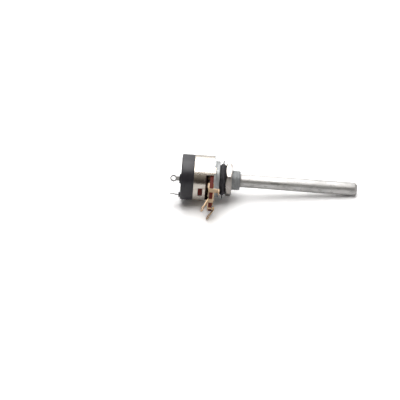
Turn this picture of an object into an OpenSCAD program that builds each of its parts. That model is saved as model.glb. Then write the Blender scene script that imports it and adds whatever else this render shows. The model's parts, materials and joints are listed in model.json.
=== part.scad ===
// Rotary potentiometer with a rotary snap switch at the back.
// X runs along the shaft towards its tip, and x = 0 is the seat that bears on a panel.
// The terminal tongue points along -Y, and +Z is up.

/* [Shaft] */
// Diameter of the control shaft
shaft_d = 6; // [5:0.05:6.35]
// Reach of the shaft's tip from the mounting seat
shaft_reach = 62.7; // [20:0.1:90]
// Length of the tip's chamfer
tip_chamfer = 0.9; // [0.3:0.1:2]
// Depth of the tip's chamfer
tip_inset = 1.1; // [0.2:0.1:1.5]
// Radial play of the shaft in its bushing
shaft_play = 0.05; // [0.02:0.01:0.1]
// How far the collar behind the plate stands out of the shaft
collar_step = 0.7; // [0.5:0.05:1]
// Length of the collar
collar_l = 1.3; // [1:0.1:1.4]
// How far the rotor's spigot is turned down from the shaft
spigot_step = 0.8; // [0.5:0.05:1.2]
// Depth of each of the spigot's two flats
spigot_flat = 0.4; // [0.2:0.05:0.8]
// Thickness of the retaining ring
ring_t = 0.5; // [0.3:0.05:0.7]
// Turning range of the shaft in degrees
turn_range = 300; // [240:5:300]

/* [Bushing and front plate] */
// Wall of the threaded bushing round the shaft
bushing_wall = 1.45; // [1.2:0.05:2]
// Reach of the bushing from the mounting seat
bushing_reach = 9.4; // [8:0.1:16]
// Chamfer at the bushing's mouth
bushing_chamfer = 0.4; // [0.1:0.05:0.5]
// Depth of the recess in the bushing's mouth
mouth_depth = 1.1; // [0.8:0.1:2]
// Height of the raised boss
boss_h = 2; // [0.8:0.05:2.4]
// How far the boss stands inside the gaps of the plate's rim
boss_inset = 1.05; // [0.6:0.05:1.5]
// Thickness of the flange
flange_t = 0.7; // [0.6:0.05:1.5]
// How far the two ears stand over the can
ear_step = 0.1; // [0:0.05:0.5]
// Depth of the two open gaps in the plate's rim
gap_depth = 0.75; // [0.3:0.05:1]

/* [Washers and nut] */
// Width of the thick washers' ring
washer_ring = 2.6; // [1.5:0.1:3.5]
// Thickness of the rear washer
rear_washer_t = 1.25; // [0.8:0.05:2]
// Thickness of the front washer
front_washer_t = 1; // [0.5:0.05:2]
// Width of the thin washer's ring
wide_washer_ring = 4.25; // [3:0.05:5]
// Thickness of the thin washer
wide_washer_t = 0.5; // [0.3:0.05:1]
// Radial play of the washers on the bushing
washer_play = 0.1; // [0.05:0.01:0.3]
// Wall of the nut between its thread and its flats
nut_wall = 2.5; // [1.8:0.1:3.5]
// Thickness of the nut
nut_t = 2.85; // [1.5:0.05:3.5]
// Turn of the nut on the bushing in degrees
nut_turn = 44; // [0:1:59]

/* [Can] */
// Thickness of the can's sheet
can_t = 0.4; // [0.3:0.01:0.45]
// Gap beside the tongue in the can's notch, in degrees
notch_spare = 2.9; // [1:0.1:4]
// Gap behind the tongue in the can's notch
notch_gap = 1.9; // [1.2:0.1:2.5]
// Width of the window round the can
window_w = 4.2; // [3:0.1:6]
// Turn of the window from the tongue
window_turn = -5; // [-20:1:20]
// Half angle of each side tab
side_tab_half = 8.5; // [5:0.5:9]
// Half angle of the top tab
top_tab_half = 20; // [14:1:22]
// Length of each folded tab over the plate
tab_fold = 2.1; // [1:0.05:2.2]

/* [Wafer and terminals] */
// Thickness of the wafer
wafer_t = 1.6; // [1.2:0.05:2]
// Width of the wafer's rim outside the resistance track
wafer_rim = 1.45; // [1:0.05:2]
// Reach of the tongue beyond the can
tongue_l = 7.5; // [6:0.1:12]
// Width of the tongue beside the outer terminals
tongue_side = 0.3; // [0.2:0.05:1]
// Distance between neighbouring terminals
pitch = 5; // [4.6:0.05:5.5]
// Width of the terminal strips
strip_w = 2; // [1.6:0.05:2.2]
// Thickness of the terminal strips
strip_t = 0.4; // [0.3:0.05:0.5]
// Diameter of the terminals' eyelets
eyelet_d = 3; // [2.6:0.1:3.4]
// Width of the hole in each eyelet
eyelet_hole = 1.5; // [1:0.05:1.8]
// Distance of the terminal rivets from the can
rivet_gap = 2.7; // [2:0.1:4]
// Reach of the upper terminal in front of the wafer's back
upper_reach = 4.2; // [2:0.1:5]
// Width of the resistance track
track_w = 1.6; // [1:0.05:2]
// Width of the collector ring
collector_w = 0.8; // [0.5:0.05:1.2]

/* [Rotor] */
// Space between the wafer and the rotor for the wiper
wiper_room = 1.4; // [1.2:0.05:1.8]
// Width of the rotor's rim outside the resistance track
rotor_rim = 0.5; // [0.2:0.05:0.8]
// Thickness of the rotor's disc
rotor_t = 1.2; // [1:0.05:1.4]
// Diameter of the drive pin
drive_d = 1.3; // [1:0.05:1.4]

/* [Switch] */
// Turn of the switch from the tongue in degrees
switch_turn = -14; // [-30:1:10]
// Thickness of the insulator plate
insulator_t = 1.8; // [1.4:0.05:2]
// How far the housing's wall stands inside the can's
housing_step = 0.1; // [0:0.05:0.3]
// Length of the housing behind the can
housing_l = 5.85; // [5:0.05:8]
// How deep the housing's spigot reaches into the can
housing_grip = 2.25; // [1:0.1:3]
// Thickness of the housing's back wall
back_t = 1.4; // [1:0.05:1.5]
// Thickness of the housing's side wall
side_t = 1.5; // [1.2:0.05:2]
// Half angle between the two lugs
lug_half = 41; // [38:0.5:44]
// Thickness of the lugs
lug_t = 0.5; // [0.4:0.05:0.6]
// Width of the lugs' necks
lug_w = 2.2; // [1.8:0.05:2.4]
// Diameter of the lugs' eyelets
lug_eye_d = 3.15; // [2.8:0.05:3.4]
// Reach of the lugs behind the housing
lug_reach = 4.9; // [4:0.1:8]
// Inward bend of the lower lug in degrees
lug_bend = 7; // [0:1:10]
// Distance of the lever's pivot from the chamber's wall
pivot_inset = 1.6; // [1.4:0.05:2]
// Diameter of the pivot pin
pivot_d = 1.2; // [1:0.05:1.3]
// Distance of the drive pin from the lever's pivot
drive_gap = 2.3; // [2.2:0.05:2.6]
// Half of the lever's swing in degrees
swing_half = 18; // [14:1:18]

/* [Hidden] */
$fn = 96;
eps = 0.01;

// Radii, from the shaft outwards
shaft_r = shaft_d / 2;
bore_r = shaft_r + shaft_play;
bushing_r = bore_r + bushing_wall;
collar_r = shaft_r + collar_step;
mouth_r = shaft_r + collar_step;
groove_r = shaft_r - 0.4;
spigot_turned_r = shaft_r - spigot_step;
spigot_flat_u = spigot_turned_r - spigot_flat;
hub_r = collar_r - 0.2;
stop_in = collar_r + 0.15;
stop_lug_r = collar_r + 0.9;
stop_out = stop_lug_r + 0.15;
wafer_hole_r = stop_out + 0.15;
collector_in = wafer_hole_r + 0.5;
collector_out = collector_in + collector_w;
track_in = collector_out + 0.7;
track_out = track_in + track_w;
rotor_r = track_out + rotor_rim;
wafer_r = track_out + wafer_rim;
can_in = wafer_r + 0.15;
can_r = can_in + can_t;
rim_r = can_in - 0.1;
gap_r = rim_r - gap_depth;
boss_r = gap_r - boss_inset;
ear_r = can_r + ear_step;
washer_r = bushing_r + washer_ring;
wide_washer_r = bushing_r + wide_washer_ring;
nut_r = bushing_r + nut_wall;
tongue_r = can_r + tongue_l;
rivet_u = can_r + rivet_gap;

// Stations along the shaft
flange_front = -boss_h;
flange_back = flange_front - flange_t;
wafer_back = flange_back - wafer_t;
collar_front = flange_back - 0.1;
collar_back = collar_front - collar_l;
rotor_front = wafer_back - wiper_room;
rotor_back = rotor_front - rotor_t;
spigot_end = rotor_back - 0.45;
insulator_front = spigot_end - 0.25;
insulator_back = insulator_front - insulator_t;
can_back = insulator_back - housing_grip;
housing_back = can_back - housing_l;
chamber_back = housing_back + back_t;
front_washer_back = rear_washer_t + wide_washer_t;
nut_back = front_washer_back + front_washer_t;
nut_front = nut_back + nut_t;
mouth_floor = bushing_reach - mouth_depth;
ring_back = mouth_floor + 0.1;

// Tongue, and the angles of the can's notch and of the plate's rim beside it
tongue_half = pitch + strip_w / 2 + tongue_side;
notch_half = asin(tongue_half / can_in) + notch_spare;
side_tab_mid = notch_half + 5 + side_tab_half;
ear_from = side_tab_mid + side_tab_half + 2.5;
ear_to = 124;
slit = 1;
fold_mid_half = 8.5;
track_t = 0.1;
collector_t = 0.15;

// The stop lug leaves its block at one end of the range and meets it at the other
full_turn = 360;
stop_turn = 180;
stop_spare = 6;
stop_lug_span = 22;
stop_block_span = full_turn - turn_range - stop_lug_span - stop_spare;
wiper_rest = (full_turn - turn_range) / 2 + 3;
track_from = wiper_rest - 3;

// Terminals
rear_strip_x = wafer_back - track_t;
seat_cut = 0.5;
outer_seat = sqrt(tongue_r * tongue_r - pitch * pitch) - seat_cut;
middle_seat = tongue_r - seat_cut;
leg_w = strip_w * 0.8;
leg_end = rivet_u + 1.1;
rivet_hole_r = 0.6;
strip_head_r = 1.3;

// Switch levels, from the insulator plate to the back wall
lever_hub_front = insulator_back - 0.2;
drive_end = insulator_back - 0.7;
fork_front = drive_end - 0.2;
fork_back = fork_front - 1.1;
pad_front = chamber_back + 0.5;
contact_back = pad_front + 0.1;
arm_back = contact_back + 0.3;
arm_front = arm_back + 1.3;
spring_x = (arm_front + arm_back) / 2;

// Switch plan, seen from behind with the lever's pivot on the side away from the lugs
housing_r = can_r - housing_step;
cavity_r = housing_r - side_t;
spigot_r = can_in - 0.02;
pillar_turn = 95;
pillar_u = cavity_r - 1.5;
pillar_r = 1.55;
rivet_r = 0.95;
rivet_bore_r = 0.55;
pivot_r = cavity_r - pivot_inset;
drive_r = pivot_r - drive_gap;
hub_play = 0.05;
lever_hub_r = pivot_inset - 0.3;
contact_mid = pivot_r;
contact_in = contact_mid - 0.9;
contact_out = contact_mid + 0.9;
carrier_out = contact_out + 0.4;
contact_half = swing_half + 4;
knob_a = 2 * pivot_r - 3.4;
knob_r = 0.7;
arm_w = 1.8;
post_u = cavity_r - 0.7;
post_r = 0.6;
lug_r = cavity_r - 0.5;
drive_turn = switch_turn + 180 - 9;

// A drawing seen from behind: first axis to the tongue, second axis up, depth backwards
module rear_view(x)
    translate([x, 0, 0]) rotate([90, 0, -90]) children();

module switch_view(x)
    rear_view(x) rotate([0, 0, switch_turn]) children();

// A turned piece, from points of radius and x
module turned(points)
    rotate([0, 90, 0]) rotate_extrude() polygon(points);

module ring_2d(outer, inner)
    difference() {
        circle(outer);
        circle(inner);
    }

module wedge_2d(r, from, to)
    polygon(concat([[0, 0]], [for (i = [0:6]) let (a = from + (to - from) * i / 6) r * [cos(a), sin(a)]]));

module arc_2d(outer, inner, from, to)
    intersection() {
        ring_2d(outer, inner);
        wedge_2d(2 * outer, from, to);
    }

module bar_2d(a, b, width) {
    run = b - a;
    translate(a) rotate(atan2(run[1], run[0])) translate([0, -width / 2]) square([norm(run), width]);
}

// A box given by its reach along x, towards the tongue and upwards
module block(x, u, v)
    translate([x[0], -u[1], v[0]]) cube([x[1] - x[0], u[1] - u[0], v[1] - v[0]]);

// A soldering eyelet on its stem, flat on the first two axes
module eyelet(stem, width, d, hole, t)
    difference() {
        union() {
            translate([0, -width / 2, 0]) cube([stem + 0.4, width, t]);
            translate([stem + d / 2, 0, 0]) cylinder(r = d / 2, h = t);
        }
        for (side = [-1, 1])
            translate([stem + d / 2 + side * 0.2, 0, -1]) cylinder(r = hole / 2, h = t + 2);
        translate([stem + d / 2 - 0.2, -hole / 2, -1]) cube([0.4, hole, t + 2]);
    }

module shaft() {
    stop_mid = stop_turn + (full_turn - turn_range) / 2;
    color("gainsboro") {
        difference() {
            turned([
                [0, shaft_reach], [shaft_r - tip_inset, shaft_reach], [shaft_r, shaft_reach - tip_chamfer],
                [shaft_r, ring_back + ring_t + 0.05], [groove_r, ring_back + ring_t + 0.05],
                [groove_r, ring_back - 0.05], [shaft_r, ring_back - 0.05], [shaft_r, collar_front],
                [collar_r, collar_front], [collar_r, collar_back], [spigot_turned_r, collar_back],
                [spigot_turned_r, rotor_back], [spigot_turned_r + 0.4, rotor_back],
                [spigot_turned_r + 0.2, spigot_end], [0, spigot_end]
            ]);
            for (side = [-1, 1])
                rotate([90 + side * 90, 0, 0])
                    translate([rotor_back, -shaft_r, spigot_flat_u]) cube([collar_back - rotor_back, shaft_d, shaft_r]);
        }
        rear_view(collar_front) linear_extrude(collar_l)
            arc_2d(stop_lug_r, collar_r - 0.5, stop_mid - stop_lug_span / 2, stop_mid + stop_lug_span / 2);
    }
}

module retaining_ring() {
    color("dimgray")
        rear_view(ring_back + ring_t) linear_extrude(ring_t) difference() {
            ring_2d(mouth_r - 0.2, groove_r + 0.02);
            wedge_2d(2 * mouth_r, 60, 120);
        }
}

module bushing_plate() {
    color("lightslategray") {
        turned([
            [bore_r, flange_back], [bore_r, mouth_floor], [mouth_r, mouth_floor],
            [mouth_r, bushing_reach], [bushing_r - bushing_chamfer, bushing_reach],
            [bushing_r, bushing_reach - bushing_chamfer], [bushing_r, 0], [boss_r - 0.2, 0],
            [boss_r, -0.2], [boss_r, flange_front - eps], [boss_r, flange_back]
        ]);
        rear_view(flange_front) linear_extrude(flange_t) difference() {
            union() {
                circle(gap_r);
                arc_2d(rim_r, gap_r - 1, -ear_from - 1, ear_from + 1);
                arc_2d(rim_r, gap_r - 1, 180 - top_tab_half - 2, 180 + top_tab_half + 2);
                for (side = [-1, 1])
                    arc_2d(ear_r, gap_r - 1, min(side * ear_from, side * ear_to), max(side * ear_from, side * ear_to));
            }
            circle(boss_r - 1);
        }
        rear_view(flange_back + eps) linear_extrude(collar_l + eps)
            arc_2d(stop_out, stop_in, stop_turn - stop_block_span / 2, stop_turn + stop_block_span / 2);
    }
}

module washer(back, r, t)
    turned([
        [bushing_r + washer_play, back], [r - 0.1, back], [r, back + 0.1],
        [r, back + t - 0.1], [r - 0.1, back + t], [bushing_r + washer_play, back + t]
    ]);

module rear_washer() {
    color("black") washer(0, washer_r, rear_washer_t);
}

module wide_washer() {
    color("black") washer(rear_washer_t, wide_washer_r, wide_washer_t);
}

module front_washer() {
    color("black") washer(front_washer_back, washer_r, front_washer_t);
}

module mounting_nut() {
    corner_r = nut_r / cos(30);
    edge = (corner_r - nut_r + 0.25) * tan(30);
    color("silver")
        difference() {
            intersection() {
                rear_view(nut_front) rotate(nut_turn) cylinder(r = corner_r, h = nut_t, $fn = 6);
                turned([
                    [0, nut_back], [nut_r - 0.2, nut_back], [corner_r + 0.05, nut_back + edge],
                    [corner_r + 0.05, nut_front - edge], [nut_r - 0.2, nut_front], [0, nut_front]
                ]);
            }
            turned([
                [0, nut_back - 1], [bushing_r + 0.02, nut_back - 1], [bushing_r + 0.02, nut_front - 0.3],
                [bushing_r + 0.42, nut_front + 0.1], [0, nut_front + 0.1]
            ]);
        }
}

module wafer() {
    seat_w = strip_w + 0.1;
    color("firebrick")
        rear_view(flange_back) linear_extrude(wafer_t) difference() {
            union() {
                circle(wafer_r);
                intersection() {
                    circle(tongue_r);
                    translate([0, -tongue_half]) square([2 * tongue_r, 2 * tongue_half]);
                }
            }
            circle(wafer_hole_r);
            for (v = [-pitch, pitch]) {
                translate([outer_seat, v - seat_w / 2]) square([tongue_r, seat_w]);
                translate([rivet_u, v]) circle(rivet_hole_r);
            }
            translate([middle_seat, -seat_w / 2]) square([tongue_r, seat_w]);
            translate([rivet_u, 0]) circle(rivet_hole_r);
        }
}

module carbon_track() {
    leg_from = sqrt(track_out * track_out - pitch * pitch) - 0.6;
    color("black")
        rear_view(wafer_back) linear_extrude(track_t) difference() {
            union() {
                arc_2d(track_out, track_in, track_from, full_turn - track_from);
                for (side = [-1, 1])
                    translate([leg_from, side * pitch - leg_w / 2]) square([leg_end - leg_from, leg_w]);
            }
            for (side = [-1, 1])
                translate([rivet_u, side * pitch]) circle(rivet_hole_r);
        }
}

module collector_ring() {
    color("silver")
        rear_view(wafer_back) linear_extrude(collector_t) difference() {
            union() {
                ring_2d(collector_out, collector_in);
                translate([collector_in + 0.2, -leg_w / 2]) square([leg_end - collector_in - 0.2, leg_w]);
            }
            translate([rivet_u, 0]) circle(rivet_hole_r);
        }
}

// The flat leg of a strip round its rivet, with its front face at x
module riveted_leg(x, seat, v)
    difference() {
        union() {
            rear_view(x) translate([rivet_u, v, 0]) cylinder(r = strip_w / 2 + 0.2, h = strip_t);
            block([x - strip_t, x], [rivet_u, seat + strip_t], [v - strip_w / 2, v + strip_w / 2]);
        }
        rear_view(x + 1) translate([rivet_u, v, 0]) cylinder(r = rivet_hole_r, h = strip_t + 2);
    }

module upper_terminal() {
    front = wafer_back + upper_reach;
    color("peru") {
        riveted_leg(rear_strip_x, outer_seat, pitch);
        block([rear_strip_x - strip_t, front], [outer_seat, outer_seat + strip_t],
            [pitch - strip_w / 2, pitch + strip_w / 2]);
        rear_view(front) translate([outer_seat, pitch, 0]) rotate([0, 4, 13])
            eyelet(0.3, strip_w, eyelet_d, eyelet_hole, strip_t);
    }
}

module middle_terminal() {
    back = rear_strip_x - strip_t;
    color("peru") {
        riveted_leg(flange_back + strip_t, middle_seat, 0);
        block([back, flange_back + strip_t], [middle_seat, middle_seat + strip_t], [-strip_w / 2, strip_w / 2]);
        rear_view(back + strip_t) translate([middle_seat + 0.1, 0.1, 0]) rotate([12, -28, -40])
            eyelet(3.3, strip_w - 0.2, eyelet_d, eyelet_hole, strip_t);
    }
}

module lower_terminal() {
    front = flange_back + 1.2;
    bridge_low = 0.1;
    color("peru") {
        riveted_leg(rear_strip_x, outer_seat, -pitch);
        block([rear_strip_x - strip_t, front], [outer_seat, outer_seat + strip_t],
            [-pitch - bridge_low, -pitch + strip_w / 2]);
        rear_view(front) translate([outer_seat + strip_t / 2, -pitch, 0]) rotate([0, 0, -90]) {
            translate([-0.9, -strip_w / 2 + 0.1, 0]) cube([1, strip_w - 0.2, strip_t]);
            rotate([0, -28, 0]) eyelet(3.7, strip_w - 0.2, eyelet_d, eyelet_hole, strip_t);
        }
    }
}

// A rivet along x from its front head to its domed rear head
module strip_rivet(u, v, front, back)
    rear_view(front) translate([u, v, 0]) {
        translate([0, 0, -0.35]) cylinder(r1 = 0.8, r2 = 1.05, h = 0.35);
        cylinder(r = rivet_hole_r, h = front - back);
        translate([0, 0, front - back]) cylinder(r1 = strip_head_r, r2 = 0.8, h = 0.45);
    }

module terminal_rivets() {
    color("burlywood") {
        for (side = [-1, 1])
            strip_rivet(rivet_u, side * pitch, flange_back, rear_strip_x - strip_t);
        strip_rivet(rivet_u, 0, flange_back + strip_t, wafer_back - collector_t);
    }
}

module rotor() {
    bore = 0.02;
    color("darkslategray")
        difference() {
            union() {
                turned([
                    [0, collar_back], [hub_r, collar_back], [hub_r, rotor_front],
                    [rotor_r - 0.2, rotor_front], [rotor_r, rotor_front - 0.2],
                    [rotor_r, rotor_back], [0, rotor_back]
                ]);
                rear_view(rotor_back) rotate([0, 0, drive_turn]) translate([drive_r, 0, -eps])
                    cylinder(r = drive_d / 2, h = rotor_back - drive_end + eps);
            }
            rear_view(collar_back + 1) linear_extrude(collar_back - rotor_back + 2) intersection() {
                circle(spigot_turned_r + bore);
                square([2 * shaft_d, 2 * (spigot_flat_u + bore)], center = true);
            }
        }
}

// A springy finger that reaches forward to a contact at radius r
module wiper_finger(r, surface) {
    base = rotor_front + 0.15;
    tip = surface - 0.4;
    half = r * sin(13);
    slope = atan2(tip - base, 2 * half);
    rear_view(0) rotate([0, 0, wiper_rest + 13]) {
        translate([r * cos(13), 0, -(base + tip) / 2]) rotate([slope, 0, 0])
            cube([1.1, 2 * half / cos(slope) + 0.2, 0.2], center = true);
        translate([r * cos(13), -half, -tip]) rotate([0, 90, 0]) cylinder(r = 0.35, h = 1.1, center = true);
    }
}

module wiper() {
    arm_from = wiper_rest + 22;
    arm_span = 68;
    color("goldenrod") {
        rear_view(rotor_front + 0.2) linear_extrude(0.2)
            arc_2d(track_out, hub_r + 0.6, arm_from, arm_from + arm_span);
        wiper_finger((track_in + track_out) / 2, wafer_back - track_t);
        wiper_finger((collector_in + collector_out) / 2, wafer_back - collector_t);
    }
}

// A tab of the can over the plate's front face, folded between two angles
module can_tab(from, to, folded) {
    front = flange_front + can_t;
    rear_view(front) linear_extrude(front - flange_back + eps) arc_2d(can_r, can_in, from, to);
    if (folded)
        rear_view(front) linear_extrude(can_t) arc_2d(can_r, can_r - tab_fold, from, to);
}

module cover_can() {
    window_l = insulator_t + 0.3;
    color("wheat") {
        difference() {
            rear_view(flange_back) linear_extrude(flange_back - can_back) ring_2d(can_r, can_in);
            rear_view(flange_back + 1) linear_extrude(wafer_t + notch_gap + 1)
                wedge_2d(2 * can_r, -notch_half, notch_half);
            rear_view(insulator_front + 0.15) rotate([0, 0, window_turn])
                translate([can_r - 2, -window_w / 2, 0]) cube([4, window_w, window_l]);
            for (side = [-1, 1])
                rear_view(flange_back + 1) rotate([0, 0, 180 + side * (fold_mid_half + slit / 2)])
                    translate([0, -0.1, 0]) cube([2 * can_r, 0.2, 2]);
        }
        for (side = [-1, 1])
            can_tab(side * side_tab_mid - side_tab_half, side * side_tab_mid + side_tab_half, true);
        can_tab(180 - fold_mid_half, 180 + fold_mid_half, true);
        can_tab(180 - top_tab_half, 180 - fold_mid_half - slit, false);
        can_tab(180 + fold_mid_half + slit, 180 + top_tab_half, false);
    }
}

module rivet_places()
    for (side = [-1, 1])
        rotate([0, 0, side * pillar_turn]) translate([pillar_u, 0, 0]) children();

module insulator_plate() {
    ear_w = window_w - 0.3;
    inner_r = drive_r + drive_d / 2 + 0.45;
    color("maroon")
        difference() {
            rear_view(insulator_front) linear_extrude(insulator_t) {
                difference() {
                    circle(can_in - 0.05);
                    circle(inner_r);
                }
                intersection() {
                    rotate(window_turn) translate([can_in - 1, -ear_w / 2]) square([2, ear_w]);
                    circle(can_r - 0.1);
                }
            }
            switch_view(insulator_front + 1) linear_extrude(insulator_t + 2) {
                rivet_places() circle(rivet_r);
                translate([-pivot_r, 0]) circle(pivot_d / 2);
            }
        }
}

module switch_rivets() {
    front = insulator_front + 0.35;
    back = housing_back + 0.05;
    color("silver")
        switch_view(front) rivet_places() difference() {
            union() {
                cylinder(r1 = 1, r2 = 1.3, h = 0.35);
                cylinder(r = rivet_r, h = front - back);
                translate([0, 0, front - back - 0.35]) cylinder(r1 = 1.4, r2 = 1.2, h = 0.35);
            }
            translate([0, 0, -1]) cylinder(r = rivet_bore_r, h = front - back + 2);
        }
}

module switch_housing() {
    front = insulator_back - 0.05;
    head_floor = housing_back + 0.4;
    boss_l = 0.7;
    color("dimgray")
        difference() {
            union() {
                turned([
                    [0, housing_back], [housing_r - 0.35, housing_back], [housing_r, housing_back + 0.35],
                    [housing_r, can_back], [spigot_r, can_back], [spigot_r, front],
                    [cavity_r, front], [cavity_r, chamber_back], [0, chamber_back]
                ]);
                switch_view(front) {
                    rivet_places() cylinder(r = pillar_r, h = front - chamber_back + eps);
                    translate([post_u, 0, front - arm_front - 0.4])
                        cylinder(r = post_r, h = arm_front + 0.4 - chamber_back + eps);
                    translate([-pivot_r, 0, front - arm_back + 0.1])
                        cylinder(r = lever_hub_r, h = arm_back - 0.1 - chamber_back + eps);
                }
                for (side = [-1, 1])
                    switch_view(housing_back + eps) rotate([0, 0, side * lug_half])
                        translate([lug_r - 1.3, -2.1, 0]) cube([2.3, 4.2, boss_l + eps]);
            }
            switch_view(front + 1) rivet_places() cylinder(r = rivet_r, h = front - housing_back + 4);
            switch_view(head_floor) rivet_places() cylinder(r = 1.6, h = 3);
            switch_view(chamber_back + 1) translate([-pivot_r, 0, 0]) cylinder(r = pivot_d / 2, h = 1.6);
            for (side = [-1, 1])
                switch_view(chamber_back + 1) rotate([0, 0, side * lug_half])
                    translate([lug_r - lug_t / 2 - 0.05, -lug_w / 2 - 0.05, 0])
                        cube([lug_t + 0.1, lug_w + 0.1, back_t + boss_l + 2]);
        }
}

// A lug through the back wall, with its contact pad on the wall's inner face
module switch_lug(turn, bend, pad_to) {
    root_l = 0.8;
    wall_l = chamber_back - housing_back + root_l;
    stem = lug_reach - root_l - lug_eye_d + 0.1;
    pad_from = lug_r * [cos(turn), sin(turn)];
    color("silver")
        switch_view(pad_front) {
            linear_extrude(pad_front - chamber_back) bar_2d(pad_from, pad_to, 1.8);
            rotate([0, 0, turn]) {
                translate([lug_r - lug_t / 2, -lug_w / 2, 0])
                    cube([lug_t, lug_w, pad_front - chamber_back + wall_l]);
                translate([lug_r + lug_t / 2, 0, pad_front - chamber_back + wall_l - 0.1])
                    rotate([0, bend, 0]) rotate([0, -90, 0])
                        eyelet(stem, lug_w - 0.2, lug_eye_d, eyelet_hole, lug_t);
            }
        }
}

module upper_lug() {
    switch_lug(lug_half, 0, [-pivot_r + contact_mid, 0]);
}

module lower_lug() {
    turn = contact_half + 3;
    switch_lug(-lug_half, -lug_bend, [-pivot_r + contact_mid * cos(turn), -contact_mid * sin(turn)]);
}

// The lever's own drawing, with its pivot at the origin and its arm on the first axis
module lever_view(x)
    switch_view(x) translate([-pivot_r, 0, 0]) rotate([0, 0, swing_half]) children();

module toggle_lever() {
    slot_half = drive_d / 2 + 0.2;
    color("saddlebrown")
        difference() {
            union() {
                lever_view(lever_hub_front) rotate(180) cylinder(r = lever_hub_r, h = lever_hub_front - arm_back);
                lever_view(fork_front) linear_extrude(fork_front - fork_back) {
                    translate([0.2, -slot_half - 0.7]) square([lever_hub_r, 2 * slot_half + 1.4]);
                    for (side = [-1, 1])
                        translate([lever_hub_r, side * (slot_half + 0.35) - 0.35]) square([2.1, 0.7]);
                }
                lever_view(arm_front) linear_extrude(arm_front - arm_back) {
                    translate([lever_hub_r - 0.4, -arm_w / 2]) square([knob_a - lever_hub_r + 0.4, arm_w]);
                    arc_2d(carrier_out, contact_in - 0.2, -contact_half, contact_half);
                    translate([knob_a, 0]) circle(knob_r);
                }
            }
            lever_view(lever_hub_front + 1) cylinder(r = pivot_d / 2 + hub_play, h = lever_hub_front - arm_back + 2);
        }
}

module moving_contact() {
    color("goldenrod")
        lever_view(arm_back) linear_extrude(arm_back - contact_back)
            arc_2d(contact_out, contact_in, -contact_half, contact_half);
}

module pivot_pin() {
    front = insulator_front - 0.1;
    back = chamber_back - 0.55;
    color("silver")
        switch_view(front) translate([-pivot_r, 0, 0]) cylinder(r = pivot_d / 2, h = front - back);
}

// A round wire swept along points, as rings of corners
function ring_at(path, i, r, sides) =
    let (a = path[max(i - 1, 0)], b = path[min(i + 1, len(path) - 1)], run = (b - a) / norm(b - a))
    let (side = cross(run, [0, 0, 1]) / norm(cross(run, [0, 0, 1])), lift = cross(side, run))
    [for (k = [0:sides - 1]) path[i] + r * (cos(360 * k / sides) * side + sin(360 * k / sides) * lift)];

module wire(path, r, sides) {
    last = len(path) - 1;
    points = [for (i = [0:last]) each ring_at(path, i, r, sides)];
    skin = [
        for (i = [0:last - 1], k = [0:sides - 1])
            let (n = (k + 1) % sides, low = i * sides, high = low + sides)
            each [[low + k, high + k, high + n], [low + k, high + n, low + n]]
    ];
    caps = [[for (k = [0:sides - 1]) k], [for (k = [sides - 1:-1:0]) last * sides + k]];
    polyhedron(points, concat(skin, caps), convexity = 8);
}

module toggle_spring() {
    knob = [-pivot_r + knob_a * cos(swing_half), knob_a * sin(swing_half)];
    run = [post_u, 0] - knob;
    start = knob_r + 0.3;
    length = norm(run) - start - post_r - 0.3;
    coil_r = 0.7;
    turns = 5;
    steps = 12;
    path = [for (i = [0:turns * steps]) let (a = 360 * i / steps)
        [coil_r * cos(a), coil_r * sin(a), start + length * i / (turns * steps)]];
    color("silver")
        switch_view(spring_x) translate([knob[0], knob[1], 0]) rotate([0, 0, atan2(run[1], run[0])])
            rotate([0, 90, 0]) wire(path, 0.15, 6);
}

shaft();
retaining_ring();
bushing_plate();
rear_washer();
wide_washer();
front_washer();
mounting_nut();
wafer();
carbon_track();
collector_ring();
upper_terminal();
middle_terminal();
lower_terminal();
terminal_rivets();
rotor();
wiper();
cover_can();
insulator_plate();
switch_housing();
toggle_lever();
moving_contact();
pivot_pin();
toggle_spring();
switch_rivets();
upper_lug();
lower_lug();
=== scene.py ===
import json
import math

import bmesh
import bpy
from bpy.props import FloatProperty, FloatVectorProperty, IntProperty, PointerProperty
from mathutils import Matrix, Vector

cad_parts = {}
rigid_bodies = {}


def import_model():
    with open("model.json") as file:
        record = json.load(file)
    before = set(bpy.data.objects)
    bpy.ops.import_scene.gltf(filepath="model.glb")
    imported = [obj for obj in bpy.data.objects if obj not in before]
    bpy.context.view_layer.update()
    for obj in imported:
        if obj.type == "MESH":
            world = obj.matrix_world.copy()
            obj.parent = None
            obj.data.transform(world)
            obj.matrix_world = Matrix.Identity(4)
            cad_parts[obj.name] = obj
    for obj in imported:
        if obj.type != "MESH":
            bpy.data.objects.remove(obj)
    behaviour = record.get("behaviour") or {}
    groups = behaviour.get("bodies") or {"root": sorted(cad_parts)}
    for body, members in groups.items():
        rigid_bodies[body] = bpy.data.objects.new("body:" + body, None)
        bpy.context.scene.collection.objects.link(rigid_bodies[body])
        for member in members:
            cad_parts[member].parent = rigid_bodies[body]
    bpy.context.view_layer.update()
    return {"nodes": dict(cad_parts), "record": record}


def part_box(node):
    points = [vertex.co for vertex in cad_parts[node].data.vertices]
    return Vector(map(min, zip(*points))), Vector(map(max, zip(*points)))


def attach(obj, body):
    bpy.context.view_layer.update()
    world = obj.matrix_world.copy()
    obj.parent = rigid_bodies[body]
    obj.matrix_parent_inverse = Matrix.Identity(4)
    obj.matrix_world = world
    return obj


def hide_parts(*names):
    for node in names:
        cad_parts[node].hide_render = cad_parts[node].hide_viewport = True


bl_info = {
    "name": "Rotary Potentiometer",
    "version": (1, 0, 0),
    "blender": (4, 5, 0),
    "location": "3D View > Sidebar > Potentiometer",
    "description": "Finishes a rotary potentiometer with a snap switch around its solid frame",
    "category": "Object",
}

MM = 0.001
WELD = 0.001 * MM  # corners closer than this are one corner
NEAR = 0.01 * MM  # a corner this close to a face counts as in it
FLAT = math.radians(0.4)  # faces that turn by less than this are one face
PAST_TIP = 1.0  # a place along the shaft that lies past its tip
FINE_GRAIN = 0.02 * MM
DEEP_GRAIN = 0.03 * MM
FUZZ = 0.04 * MM

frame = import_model()


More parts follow.
